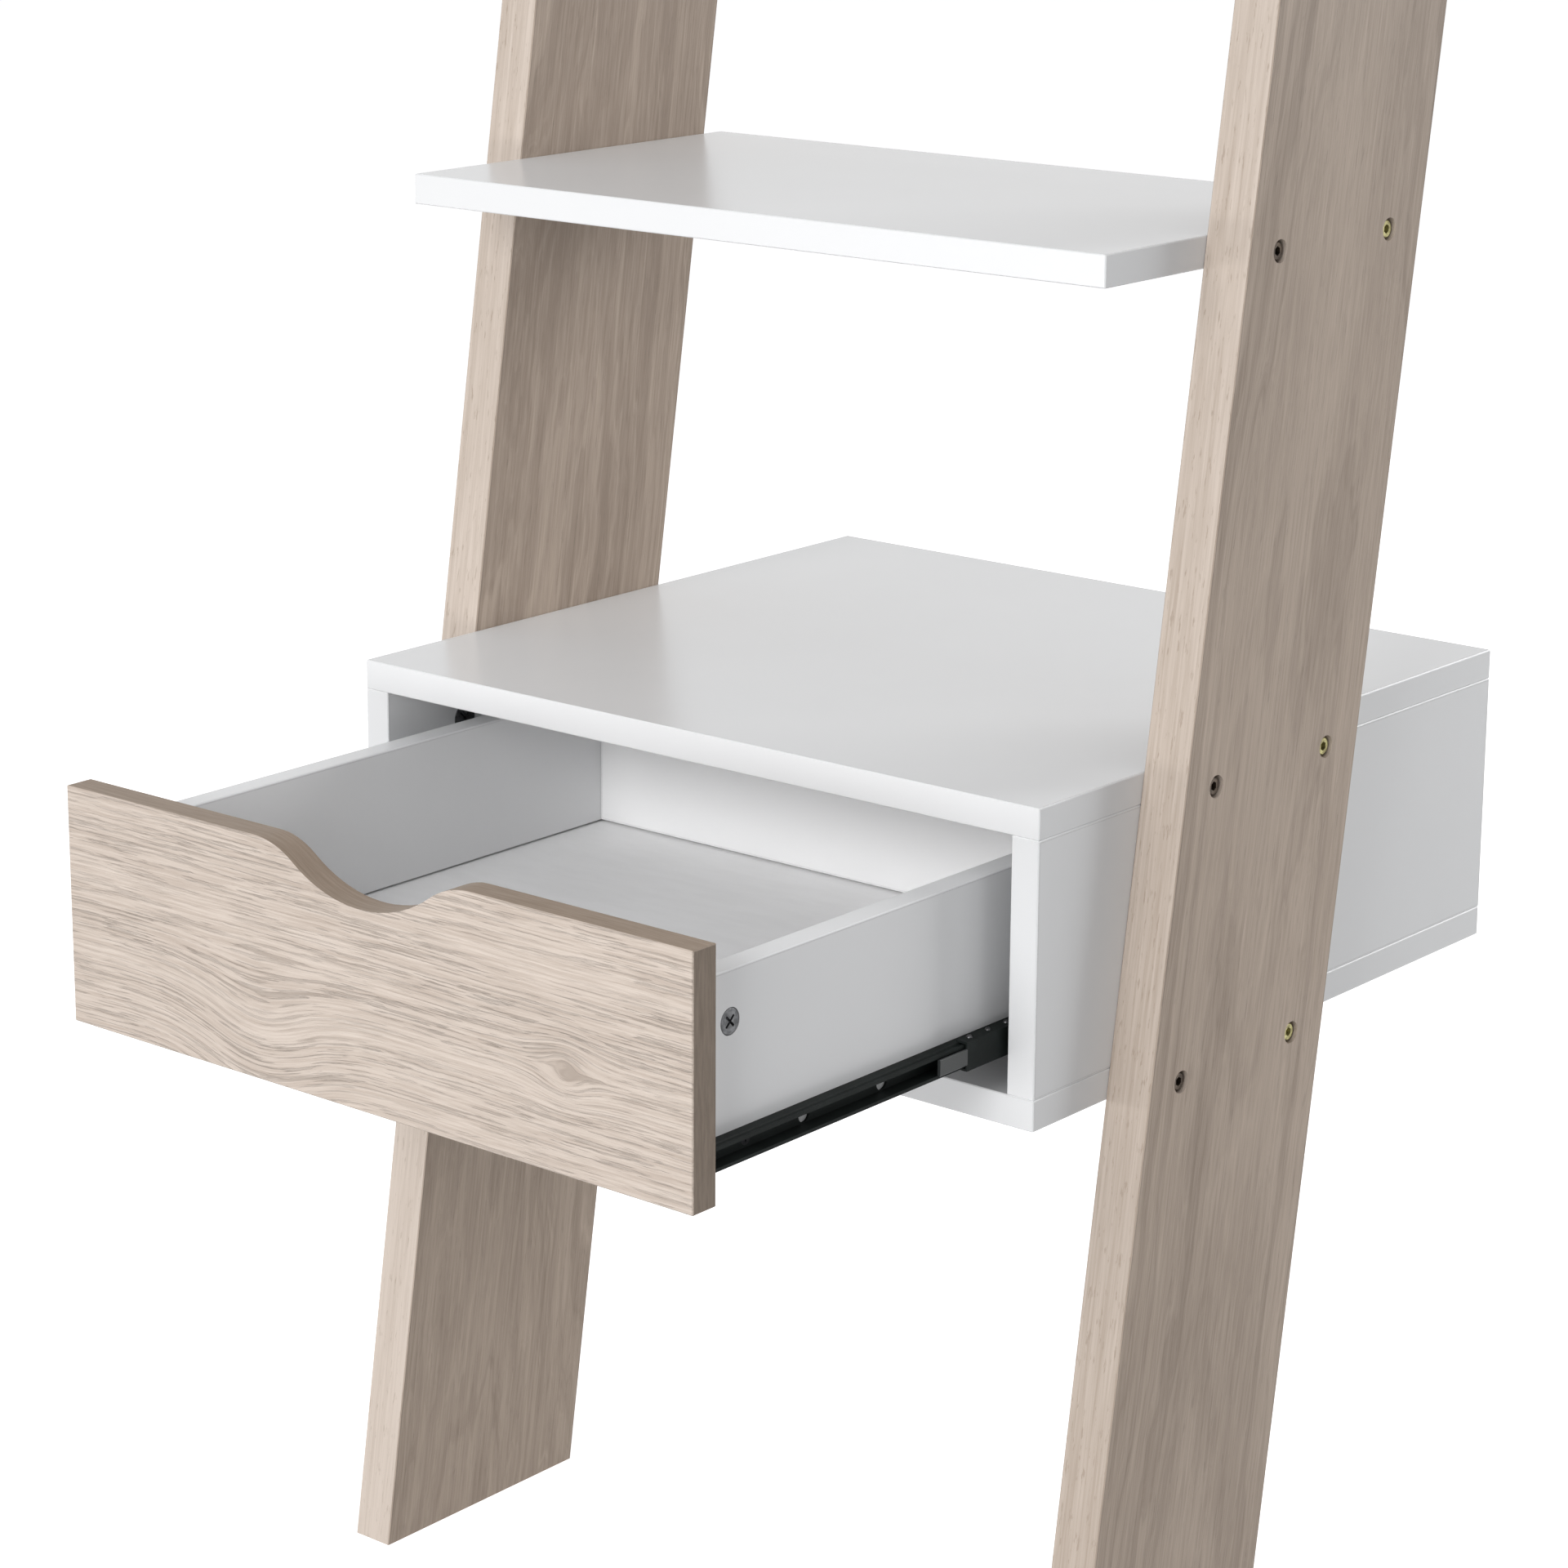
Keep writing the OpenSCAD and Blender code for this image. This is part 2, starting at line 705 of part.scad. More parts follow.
module drawer_front() {
    bolt_x = box_w - side_t / 2;
    color("#cdbbae") place() difference() {
        panel([-front_half_w, drawer_y0, front_z0], [front_half_w, front_back_y, front_z1]);
        scoop_cut();
        floor_groove();
        both_sides() {
            rod_y([bolt_x, front_back_y - drawer_bolt_thread_l - 1, drawer_cam_z], cam_bolt_d + 1,
                drawer_bolt_thread_l + 2);
            rod_y([bolt_x, front_back_y - drawer_dowel_hold - 0.5, drawer_dowel_z],
                drawer_dowel_d + hole_clear, drawer_dowel_hold + 1);
        }
    }
}

module drawer_side() {
    bolt_x = box_w - side_t / 2;
    difference() {
        panel([box_inside_w, front_back_y, side_z0], [box_w, drawer_y1, side_z1]);
        floor_groove();
        drawer_cam_places() {
            translate([0, 0, -side_t + 2]) cylinder(d = drawer_cam_d + cam_clear, h = side_t);
            translate([0, 0, -side_t / 2]) rotate([-90, 0, 0])
                cylinder(d = cam_bolt_d + 1, h = drawer_cam_reach + 1);
        }
        rod_y([bolt_x, front_back_y - 1, drawer_dowel_z], drawer_dowel_d + hole_clear,
            drawer_dowel_l - drawer_dowel_hold + 1.5);
        drawer_rail_screw_places() small_screw_hole(drawer_rail_screw_l);
        back_screw_places() small_screw_hole(back_screw_l);
    }
}

module drawer_left_side() {
    color("#e6e8ea") place() mirror([1, 0, 0]) drawer_side();
}

module drawer_right_side() {
    color("#e6e8ea") place() drawer_side();
}

module drawer_back() {
    color("#e6e8ea") place() difference() {
        panel([-box_inside_w, drawer_y1 - side_t, floor_z1 + floor_gap], [box_inside_w, drawer_y1, side_z1]);
        both_sides() back_screw_places() small_screw_hole(back_screw_l);
        bottom_screw_places() small_screw_hole(floor_screw_l);
    }
}

module drawer_bottom() {
    color("#d3d4d6") place() difference() {
        box([-box_inside_w - groove_hold, front_back_y - groove_hold, floor_z0],
            [box_inside_w + groove_hold, drawer_y1, floor_z1]);
        bottom_screw_places() small_screw_hole(floor_screw_l);
    }
}

module drawer_cams() {
    color("#7d7f82") place() both_sides() drawer_cam_places() cam(drawer_cam_d, side_t - 2.5, side_t / 2);
}

module drawer_cam_bolts() {
    color("#b9bbbf") place() both_sides() drawer_cam_places() translate([0, 0, -side_t / 2])
        cam_bolt(drawer_cam_reach, drawer_bolt_thread_l);
}

module drawer_dowels() {
    y = front_back_y - drawer_dowel_hold + drawer_dowel_l / 2;
    color("#d9c39a") place() both_sides() translate([box_w - side_t / 2, y, drawer_dowel_z])
        rotate([90, 0, 0]) dowel(drawer_dowel_d, drawer_dowel_l);
}

module drawer_back_screws() {
    color("#b9bbbf") place() both_sides() back_screw_places() small_screw(back_screw_l);
}

module drawer_bottom_screws() {
    color("#b9bbbf") place() bottom_screw_places() small_screw(floor_screw_l);
}

// ---------------------------------------------------------------- wall brackets

module bracket_screw_places() {
    both_sides() for (a = bracket_screws_at)
        translate([wall_hole_spacing / 2, toe_to_wall - a, top_underside - bracket_t])
            rotate([180, 0, 0]) children();
}

module wall_bracket() {
    x0 = (wall_hole_spacing - bracket_w) / 2;
    difference() {
        panel([x0, toe_to_wall - bracket_l, top_underside - bracket_l],
            [x0 + bracket_w, toe_to_wall, top_underside], 0.3);
        box([x0 - 1, toe_to_wall - bracket_l - 1, top_underside - bracket_l - 1],
            [x0 + bracket_w + 1, toe_to_wall - bracket_t, top_underside - bracket_t]);
        rod_y([wall_hole_spacing / 2, toe_to_wall - bracket_t - 1, top_underside - bracket_drop],
            wall_hole_d, bracket_t + 2);
        bracket_screw_places() small_screw_hole(bracket_screw_l);
    }
}

module left_wall_bracket() {
    color("#b4b6b9") place() mirror([1, 0, 0]) wall_bracket();
}

module right_wall_bracket() {
    color("#b4b6b9") place() wall_bracket();
}

module bracket_screws() {
    color("#b9bbbf") place() bracket_screw_places() small_screw(bracket_screw_l);
}

left_leg();
right_leg();
shelf_1();
shelf_2();
shelf_3();
shelf_4();
cabinet_top();
cabinet_bottom();
cabinet_left_side();
cabinet_right_side();
cabinet_back();
left_leg_screws();
right_leg_screws();
leg_dowels();
cabinet_cams();
cabinet_cam_bolts();
cabinet_dowels();
cabinet_bottom_screws();
left_cabinet_rail();
right_cabinet_rail();
cabinet_rail_screws();
left_ball_cage();
right_ball_cage();
left_balls();
right_balls();
left_cage_block();
right_cage_block();
left_drawer_rail();
right_drawer_rail();
drawer_rail_screws();
drawer_front();
drawer_left_side();
drawer_right_side();
drawer_back();
drawer_bottom();
drawer_cams();
drawer_cam_bolts();
drawer_dowels();
drawer_back_screws();
drawer_bottom_screws();
left_wall_bracket();
right_wall_bracket();
bracket_screws();
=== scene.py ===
"""Looks for the ladder shelf: materials, floor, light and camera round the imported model."""

import math

import bmesh
import bpy
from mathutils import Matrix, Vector


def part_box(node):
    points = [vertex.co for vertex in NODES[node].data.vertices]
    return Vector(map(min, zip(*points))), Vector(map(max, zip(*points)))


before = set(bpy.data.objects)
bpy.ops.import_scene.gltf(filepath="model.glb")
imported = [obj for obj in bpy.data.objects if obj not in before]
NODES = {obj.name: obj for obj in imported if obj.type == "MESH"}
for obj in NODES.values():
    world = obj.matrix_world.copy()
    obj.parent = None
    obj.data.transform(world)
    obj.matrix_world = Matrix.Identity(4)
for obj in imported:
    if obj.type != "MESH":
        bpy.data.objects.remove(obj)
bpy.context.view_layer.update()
LEAN = math.radians(8.9)  # of the legs, from upright
TOE_AHEAD = 0.0835  # from the origin forward to the legs' front toes
LEG_WIDTH = 0.143
BAND = 0.0009  # from a leg's edge to the line where its edge band ends


# ---------------------------------------------------------------- node graphs


class Graph:
    """Short names for building one material's nodes."""

    def __init__(self, name):
        self.mat = bpy.data.materials.new(name)
        self.mat.use_nodes = True
        self.tree = self.mat.node_tree
        self.tree.nodes.clear()
        self.out = self.tree.nodes.new("ShaderNodeOutputMaterial")
        self.bsdf = self.tree.nodes.new("ShaderNodeBsdfPrincipled")
        self.link(self.bsdf.outputs["BSDF"], self.out.inputs["Surface"])
        self.coord = self.tree.nodes.new("ShaderNodeTexCoord")
        self.place = self.coord.outputs["Object"]
        self.normal = self.coord.outputs["Normal"]

    def link(self, a, b):
        self.tree.links.new(a, b)

    def put(self, socket, value):
        if isinstance(value, bpy.types.NodeSocket):
            self.link(value, socket)
        elif isinstance(value, (tuple, list, Vector)) and len(value) == 3 and socket.type == "RGBA":
            socket.default_value = (*value, 1)
        else:
            socket.default_value = value

    def math(self, kind, a, b=0.0, clamp=False):
        n = self.tree.nodes.new("ShaderNodeMath")
        n.operation = kind
        n.use_clamp = clamp
        for socket, value in zip(n.inputs, (a, b)):
            self.put(socket, value)
        return n.outputs[0]

    def add(self, a, b):
        return self.math("ADD", a, b)

    def sub(self, a, b):
        return self.math("SUBTRACT", a, b)

    def mul(self, a, b):
        return self.math("MULTIPLY", a, b)

    def step(self, value, low, high):
        """Smoothly from 0 at low to 1 at high. With low above high it falls instead."""
        n = self.tree.nodes.new("ShaderNodeMapRange")
        n.interpolation_type = "SMOOTHSTEP"
        for key, v in {"Value": value, "From Min": low, "From Max": high}.items():
            self.put(n.inputs[key], v)
        return n.outputs[0]

    def split(self, vector):
        n = self.tree.nodes.new("ShaderNodeSeparateXYZ")
        self.put(n.inputs[0], vector)
        return n.outputs

    def join(self, x, y, z):
        n = self.tree.nodes.new("ShaderNodeCombineXYZ")
        for socket, value in zip(n.inputs, (x, y, z)):
            self.put(socket, value)
        return n.outputs[0]

    def mapping(self, vector, move=(0, 0, 0), turn=(0, 0, 0), scale=(1, 1, 1)):
        n = self.tree.nodes.new("ShaderNodeMapping")
        self.put(n.inputs["Vector"], vector)
        n.inputs["Location"].default_value = move
        n.inputs["Rotation"].default_value = turn
        n.inputs["Scale"].default_value = scale
        return n.outputs[0]

    def noise(self, vector, scale, detail, rough):
        n = self.tree.nodes.new("ShaderNodeTexNoise")
        self.put(n.inputs["Vector"], vector)
        n.inputs["Scale"].default_value = scale
        n.inputs["Detail"].default_value = detail
        n.inputs["Roughness"].default_value = rough
        return n.outputs[0]

    def mix(self, amount, a, b):
        n = self.tree.nodes.new("ShaderNodeMix")
        n.data_type = "RGBA"
        self.put(n.inputs[0], amount)
        self.put(n.inputs[6], a)
        self.put(n.inputs[7], b)
        return n.outputs[2]

    def dim(self, colour, amount):
        """The colour times a plain number."""
        n = self.tree.nodes.new("ShaderNodeVectorMath")
        n.operation = "SCALE"
        self.put(n.inputs[0], colour)
        self.put(n.inputs["Scale"], amount)
        return n.outputs[0]

    def bump(self, height, distance, strength):
        n = self.tree.nodes.new("ShaderNodeBump")
        n.inputs["Strength"].default_value = strength
        n.inputs["Distance"].default_value = distance
        self.put(n.inputs["Height"], height)
        self.link(n.outputs[0], self.bsdf.inputs["Normal"])


def give(mat, *names):
    for name in names:
        mesh = NODES[name].data
        mesh.materials.clear()
        mesh.materials.append(mat)


# ---------------------------------------------------------------- oak-effect foil


def fibres(g, u, v, w, fine, length):
    """Streaks that run along v, with their width set by fine and their length by length."""
    return g.noise(g.join(g.mul(u, fine), g.mul(v, length), g.mul(w, fine)), 1.0, 3.0, 0.6)


def leg_place(g):
    """Places on a leg: through its thickness, back from its front edge, and up along it."""
    return g.split(g.mapping(g.place, move=(0, TOE_AHEAD * math.cos(LEAN), 0), turn=(LEAN, 0, 0)))


def leg_oak(name, side):
    """Pale greige oak print: cathedral figure on the broad faces, straight grain on the narrow ones."""
    g = Graph(name)
    x, u, v = leg_place(g)
    across = g.split(g.mapping(g.normal, turn=(LEAN, 0, 0)))[0]
    broad = g.step(g.math("ABSOLUTE", across), 0.5, 0.8)

    # Growth rings as level lines of a long shallow bowl, so they close into tall arches
    drift = g.noise(g.join(g.mul(u, 5.0), g.mul(v, 1.3), side * 3.0), 1.0, 2.0, 0.5)
    heart = g.add(0.070 + 0.010 * side, g.mul(g.sub(drift, 0.5), 0.10))
    off = g.sub(u, heart)
    bowl = g.mul(g.mul(off, off), 420.0)
    wander = g.noise(g.join(g.mul(u, 20.0), g.mul(v, 3.2), side * 7.0), 1.0, 4.0, 0.6)
    level = g.add(g.add(bowl, g.mul(v, 2.1)), g.mul(wander, 2.6))
    figure_band = g.noise(g.join(g.mul(level, 2.3), g.mul(v, 0.8), side + 4.0), 1.0, 3.0, 0.6)
    fine_rings = g.noise(g.join(g.mul(level, 15.0), g.mul(v, 2.0), 2.0), 1.0, 3.0, 0.65)
    flame = g.step(g.math("ABSOLUTE", off), 0.028, 0.006)

    hair = fibres(g, u, v, x, 1050.0, 26.0)
    streak = fibres(g, u, v, x, 330.0, 7.0)
    band_streak = fibres(g, u, v, x, 80.0, 1.7)
    pore = fibres(g, u, v, x, 1300.0, 80.0)
    pores = g.mul(g.step(pore, 0.57, 0.68), g.step(streak, 0.40, 0.60))
    cloud = g.noise(g.join(g.mul(u, 11.0), g.mul(v, 4.0), x), 1.0, 3.0, 0.55)

    pale = (0.524, 0.428, 0.350)
    dark = (0.288, 0.224, 0.176)
    arches = g.sub(g.step(figure_band, 0.38, 0.62), 0.5)
    tone = g.add(g.mul(arches, 0.36), g.mul(g.sub(fine_rings, 0.5), 0.60))
    tone = g.sub(tone, g.mul(g.mul(flame, g.step(fine_rings, 0.42, 0.6)), 0.14))
    tone = g.add(tone, g.mul(g.sub(band_streak, 0.5), 0.40))
    tone = g.add(tone, g.mul(g.sub(streak, 0.5), 0.35))
    tone = g.add(tone, g.mul(g.sub(hair, 0.5), 1.00))
    tone = g.add(tone, g.mul(g.sub(cloud, 0.5), 0.95))
    # Painted shade: the broad faces grow darker up the leg, towards the shade under the shelves, more so on
    # the left leg
    tone = g.add(tone, g.mul(g.step(v, 0.22, 0.75), 0.17 - 0.05 * side))
    figure = g.mix(g.math("ADD", tone, 0.51, clamp=True), pale, dark)

    # Narrow faces carry a straight-grained band
    side_hair = fibres(g, x, v, g.mul(u, 0.2), 1000.0, 22.0)
    side_streak = fibres(g, x, v, g.mul(u, 0.2), 330.0, 6.0)
    side_broad = fibres(g, x, v, g.mul(u, 0.2), 110.0, 2.2)
    fleck = fibres(g, x, v, g.mul(u, 0.2), 620.0, 95.0)
    side_tone = g.add(g.mul(g.sub(side_hair, 0.5), 1.0), g.mul(g.sub(side_streak, 0.5), 1.0))
    side_tone = g.add(side_tone, g.mul(g.sub(side_broad, 0.5), 0.9))
    side_tone = g.add(side_tone, g.mul(g.step(fleck, 0.58, 0.70), 0.55))
    # Painted light and shade: low down on the narrow faces the left leg is lightened and the right leg
    # darkened
    side_tone = g.add(side_tone, g.mul(g.step(v, 0.75, 0.2), 0.26 * side))
    band = g.mix(g.math("ADD", side_tone, 0.36, clamp=True), (0.564, 0.486, 0.424), (0.354, 0.286, 0.231))

    colour = g.mix(broad, band, figure)
    colour = g.dim(colour, g.sub(1.0, g.mul(g.mul(pores, broad), 0.20)))
    # A hair-thin darker line where the edge band meets the broad face
    near_front = g.math("ABSOLUTE", g.sub(u, BAND))
    near_back = g.math("ABSOLUTE", g.sub(u, LEG_WIDTH - BAND))
    seam = g.step(g.math("MINIMUM", near_front, near_back), 0.0004, 0.0001)
    colour = g.dim(colour, g.sub(1.0, g.mul(g.mul(seam, broad), 0.22)))
    g.link(colour, g.bsdf.inputs["Base Color"])
    g.put(g.bsdf.inputs["Roughness"], g.add(0.52, g.mul(g.sub(hair, 0.5), 0.18)))
    g.bsdf.inputs["Specular IOR Level"].default_value = 0.32
    g.bump(g.sub(g.mul(hair, 0.5), g.mul(pores, 0.7)), 0.00012, 0.55)
    return g.mat


def front_oak():
    """Light oak print with embossed grain along the drawer front, a knot and a swirl."""
    g = Graph("front_oak")
    x, y, z = g.split(g.place)
    nx, ny, _ = g.split(g.normal)
    face = g.step(g.math("ABSOLUTE", ny), 0.5, 0.8)

    def eye(cx, cz, a, b, pull):
        """How far the grain is pushed away from a knot, and how near the knot is."""
        dx, dz = g.sub(x, cx), g.sub(z, cz)
        rr = g.add(g.mul(g.mul(dx, dx), 1 / (a * a)), g.mul(g.mul(dz, dz), 1 / (b * b)))
        near = g.math("POWER", math.e, g.mul(rr, -1.0))
        return g.mul(g.mul(dz, near), -pull), near

    knot_push, knot = eye(0.121, 0.404, 0.017, 0.0115, 1.05)
    # The swirl: lines low on the left dip towards the bottom edge and rise again
    dip_x = g.mul(g.sub(x, -0.066), 1 / 0.042)
    dip = g.math("POWER", math.e, g.mul(g.mul(dip_x, dip_x), -1.0))
    dip = g.mul(g.mul(dip, g.step(z, 0.424, 0.378)), 0.015)
    slow = g.noise(g.join(g.mul(x, 3.5), g.mul(z, 6.0), 4.0), 1.0, 2.0, 0.5)
    ripple = g.noise(g.join(g.mul(x, 55.0), g.mul(z, 45.0), 1.0), 1.0, 2.0, 0.5)
    zz = g.add(g.add(z, knot_push), dip)
    zz = g.add(zz, g.mul(g.sub(slow, 0.5), 0.010))
    zz = g.add(zz, g.mul(g.sub(ripple, 0.5), 0.0007))

    def along(fine, length, seed):
        """Streaks that follow the bent grain."""
        across = g.add(g.mul(zz, fine), seed)
        return g.noise(g.join(g.mul(x, length), g.mul(y, fine), across), 1.0, 3.0, 0.58)

    ridge = along(760.0, 20.0, 0.0)
    hair = along(1400.0, 38.0, 5.0)
    broad = along(95.0, 4.0, 9.0)
    dash = along(1050.0, 27.0, 13.0)
    lines = g.step(ridge, 0.42, 0.60)
    dashes = g.mul(g.step(dash, 0.54, 0.61), g.step(broad, 0.20, 0.60))

    tone = g.add(g.mul(g.sub(broad, 0.5), 0.5), g.mul(g.sub(lines, 0.5), 0.34))
    tone = g.add(tone, g.mul(g.sub(hair, 0.5), 1.0))
    tone = g.add(tone, g.mul(knot, 0.10))
    pale = (0.603, 0.525, 0.462)
    dark = (0.377, 0.307, 0.256)
    colour = g.mix(g.math("ADD", tone, 0.42, clamp=True), pale, dark)
    colour = g.dim(colour, g.sub(1.0, g.mul(dashes, 0.20)))

    # The bands on the top and ends are a browner straight grain
    strip = g.noise(g.join(g.mul(x, 45.0), g.mul(y, 800.0), g.mul(z, 45.0)), 1.0, 4.0, 0.65)
    strip_end = g.noise(g.join(g.mul(x, 900.0), g.mul(y, 620.0), g.mul(z, 60.0)), 1.0, 4.0, 0.65)
    ends = g.step(g.math("ABSOLUTE", nx), 0.6, 0.9)
    strip = g.mix(ends, strip, strip_end)
    top_band = g.mix(g.step(strip, 0.25, 0.75), (0.350, 0.274, 0.212), (0.266, 0.201, 0.150))
    end_band = g.mix(g.step(strip, 0.25, 0.75), (0.248, 0.197, 0.154), (0.177, 0.136, 0.103))
    band = g.mix(ends, top_band, end_band)
    colour = g.mix(face, band, colour)
    g.link(colour, g.bsdf.inputs["Base Color"])
    g.put(g.bsdf.inputs["Roughness"], g.add(0.55, g.mul(g.sub(hair, 0.5), 0.2)))
    g.bsdf.inputs["Specular IOR Level"].default_value = 0.3
    emboss = g.sub(g.mul(ridge, 0.5), g.mul(dashes, 0.6))
    g.bump(g.mul(g.add(emboss, g.mul(hair, 0.3)), face), 0.0006, 0.75)
    return g.mat


# ---------------------------------------------------------------- white board


def melamine(node, thin, tint=(0.744, 0.749, 0.757)):
    """Satin white melamine on one panel, with a hairline where its edge bands meet the broad faces."""
    g = Graph("melamine_" + node)
    lo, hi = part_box(node)
    place = g.split(g.place)
    normal = g.split(g.normal)
    others = [i for i in range(3) if i != thin]
    gaps = []
    for i in others:
        middle, half = (lo[i] + hi[i]) / 2, (hi[i] - lo[i]) / 2
        gaps.append(g.sub(half, g.math("ABSOLUTE", g.sub(place[i], middle))))
    edge = g.math("MINIMUM", *gaps)
    broad = g.step(g.math("ABSOLUTE", normal[thin]), 0.6, 0.9)
    seam = g.mul(g.step(g.math("ABSOLUTE", g.sub(edge, 0.001)), 0.0004, 0.0001), broad)

    fine = g.noise(g.place, 1900.0, 2.0, 0.6)
    peel = g.noise(g.place, 260.0, 2.0, 0.5)
    cloud = g.noise(g.place, 9.0, 3.0, 0.5)
    arris = g.mul(g.mul(g.step(edge, 0.0022, 0.0002), broad), g.noise(g.place, 60.0, 2.0, 0.6))

    colour = g.mix(g.step(cloud, 0.3, 0.7), tint, tuple(c * 0.982 for c in tint))
    colour = g.dim(colour, g.sub(1.0, g.mul(seam, 0.16)))
    g.link(colour, g.bsdf.inputs["Base Color"])
    rough = g.add(0.26, g.mul(g.sub(fine, 0.5), 0.04))
    g.put(g.bsdf.inputs["Roughness"], g.add(rough, g.mul(arris, 0.04)))
    g.bsdf.inputs["Specular IOR Level"].default_value = 0.42
    g.bump(g.sub(g.add(g.mul(peel, 0.5), g.mul(fine, 0.3)), g.mul(seam, 1.5)), 0.000015, 0.4)
    give(g.mat, node)


def hardboard(node, tint):
    """Thin white-lacquered board: flatter than melamine, with a faint fibre mottle."""
    g = Graph("hardboard_" + node)
    mottle = g.noise(g.place, 420.0, 3.0, 0.6)
    flow = g.noise(g.mapping(g.place, scale=(35, 120, 35)), 1.0, 3.0, 0.55)
    fleck = g.step(g.noise(g.place, 900.0, 2.0, 0.6), 0.62, 0.75)
    colour = g.mix(g.step(flow, 0.3, 0.7), tint, tuple(c * 0.965 for c in tint))
    colour = g.dim(colour, g.sub(1.0, g.mul(fleck, 0.05)))
    g.link(colour, g.bsdf.inputs["Base Color"])
    g.put(g.bsdf.inputs["Roughness"], g.add(0.5, g.mul(g.sub(mottle, 0.5), 0.12)))
    g.bsdf.inputs["Specular IOR Level"].default_value = 0.35
    g.bump(g.add(mottle, g.mul(fleck, 0.4)), 0.00006, 0.6)
    give(g.mat, node)


# ---------------------------------------------------------------- metal, plastic, dowels


def plated(name, bright, dull, rough, *nodes):
    """Plated or cast metal with dull stains and fine turning marks."""
    g = Graph(name)
    stain = g.noise(g.place, 420.0, 4.0, 0.6)
    blot = g.noise(g.place, 130.0, 3.0, 0.6)
    marks = g.noise(g.mapping(g.place, scale=(3500, 900, 900)), 1.0, 2.0, 0.6)
    colour = g.mix(g.step(g.add(stain, g.mul(g.sub(blot, 0.5), 0.8)), 0.3, 0.7), bright, dull)
    g.link(colour, g.bsdf.inputs["Base Color"])
    g.bsdf.inputs["Metallic"].default_value = 1.0
    g.put(g.bsdf.inputs["Roughness"], g.add(rough, g.mul(g.sub(stain, 0.5), 0.35)))
    g.bump(g.add(marks, g.mul(stain, 0.6)), 0.00003, 0.6)
    give(g.mat, *nodes)


def leg_screw_zinc(*nodes):
    """Yellow zinc-plated screws, with painted shade: the heads in the legs' front row are painted dark
    brown.
    """
    g = Graph("yellow_zinc")
    back_row = g.step(leg_place(g)[1], 0.055, 0.085)
    stain = g.noise(g.place, 520.0, 4.0, 0.65)
    blot = g.noise(g.place, 150.0, 3.0, 0.6)
    mottle = g.step(g.add(stain, g.mul(g.sub(blot, 0.5), 0.8)), 0.32, 0.68)
    yellow = g.mix(mottle, (0.50, 0.47, 0.22), (0.24, 0.21, 0.10))
    # Painted shade: the front row's heads are coloured dark brown for the shade in their recesses; the
    # yellow is the zinc itself
    brown = g.mix(mottle, (0.105, 0.079, 0.058), (0.050, 0.037, 0.028))
    g.link(g.mix(back_row, brown, yellow), g.bsdf.inputs["Base Color"])
    g.bsdf.inputs["Metallic"].default_value = 0.8
    g.put(g.bsdf.inputs["Roughness"], g.add(0.42, g.mul(g.sub(stain, 0.5), 0.4)))
    g.bump(g.add(stain, g.mul(blot, 0.5)), 0.00006, 0.7)
    give(g.mat, *nodes)


def coated(name, colour, rough, along_y, *nodes):
    """Black-coated steel with faint rolling lines and a little dust."""
    g = Graph(name)
    lines = g.noise(g.mapping(g.place, scale=(1400, along_y, 1400)), 1.0, 3.0, 0.6)
    dust = g.step(g.noise(g.place, 700.0, 3.0, 0.65), 0.62, 0.78)
    cloud = g.noise(g.place, 60.0, 3.0, 0.5)
    base = g.mix(g.step(cloud, 0.3, 0.7), colour, tuple(c * 1.7 for c in colour))
    base = g.mix(g.mul(dust, 0.07), base, (0.12, 0.12, 0.115))
    g.link(base, g.bsdf.inputs["Base Color"])
    g.put(g.bsdf.inputs["Roughness"], g.add(rough, g.add(g.mul(g.sub(lines, 0.5), 0.06), g.mul(dust, 0.1))))
    g.bsdf.inputs["Specular IOR Level"].default_value = 0.1
    g.bump(g.add(lines, g.mul(dust, 0.3)), 0.00001, 0.4)
    give(g.mat, *nodes)


def moulded(name, colour, *nodes):
    """Grey moulded plastic with a fine matt texture."""
    g = Graph(name)
    grain = g.noise(g.place, 1600.0, 2.0, 0.6)
    cloud = g.noise(g.place, 90.0, 2.0, 0.5)
    mottled = g.mix(g.step(cloud, 0.3, 0.7), colour, tuple(c * 1.15 for c in colour))
    g.link(mottled, g.bsdf.inputs["Base Color"])
    g.put(g.bsdf.inputs["Roughness"], g.add(0.48, g.mul(g.sub(grain, 0.5), 0.15)))
    g.bump(grain, 0.00004, 0.7)
    give(g.mat, *nodes)


def beech(*nodes):
    """Beech dowels with straight grain and small flecks."""
    g = Graph("beech")
    grain = g.noise(g.mapping(g.place, scale=(40, 900, 900)), 1.0, 3.0, 0.6)
    fleck = g.step(g.noise(g.mapping(g.place, scale=(260, 2000, 2000)), 1.0, 2.0, 0.5), 0.6, 0.7)
    colour = g.mix(g.step(grain, 0.3, 0.7), (0.66, 0.47, 0.29), (0.52, 0.35, 0.20))
    g.link(g.dim(colour, g.sub(1.0, g.mul(fleck, 0.25))), g.bsdf.inputs["Base Color"])
    g.put(g.bsdf.inputs["Roughness"], g.add(0.6, g.mul(g.sub(grain, 0.5), 0.2)))
    g.bump(grain, 0.0001, 0.6)
    give(g.mat, *nodes)


X, Y, Z = 0, 1, 2
give(leg_oak("leg_oak_left", -1.0), "left_leg")
give(leg_oak("leg_oak_right", 1.0), "right_leg")
give(front_oak(), "drawer_front")
for name in ("shelf_1", "shelf_2", "shelf_3", "shelf_4", "cabinet_top", "cabinet_bottom"):
    melamine(name, Z)
for name in ("cabinet_left_side", "cabinet_right_side"):
    melamine(name, X)
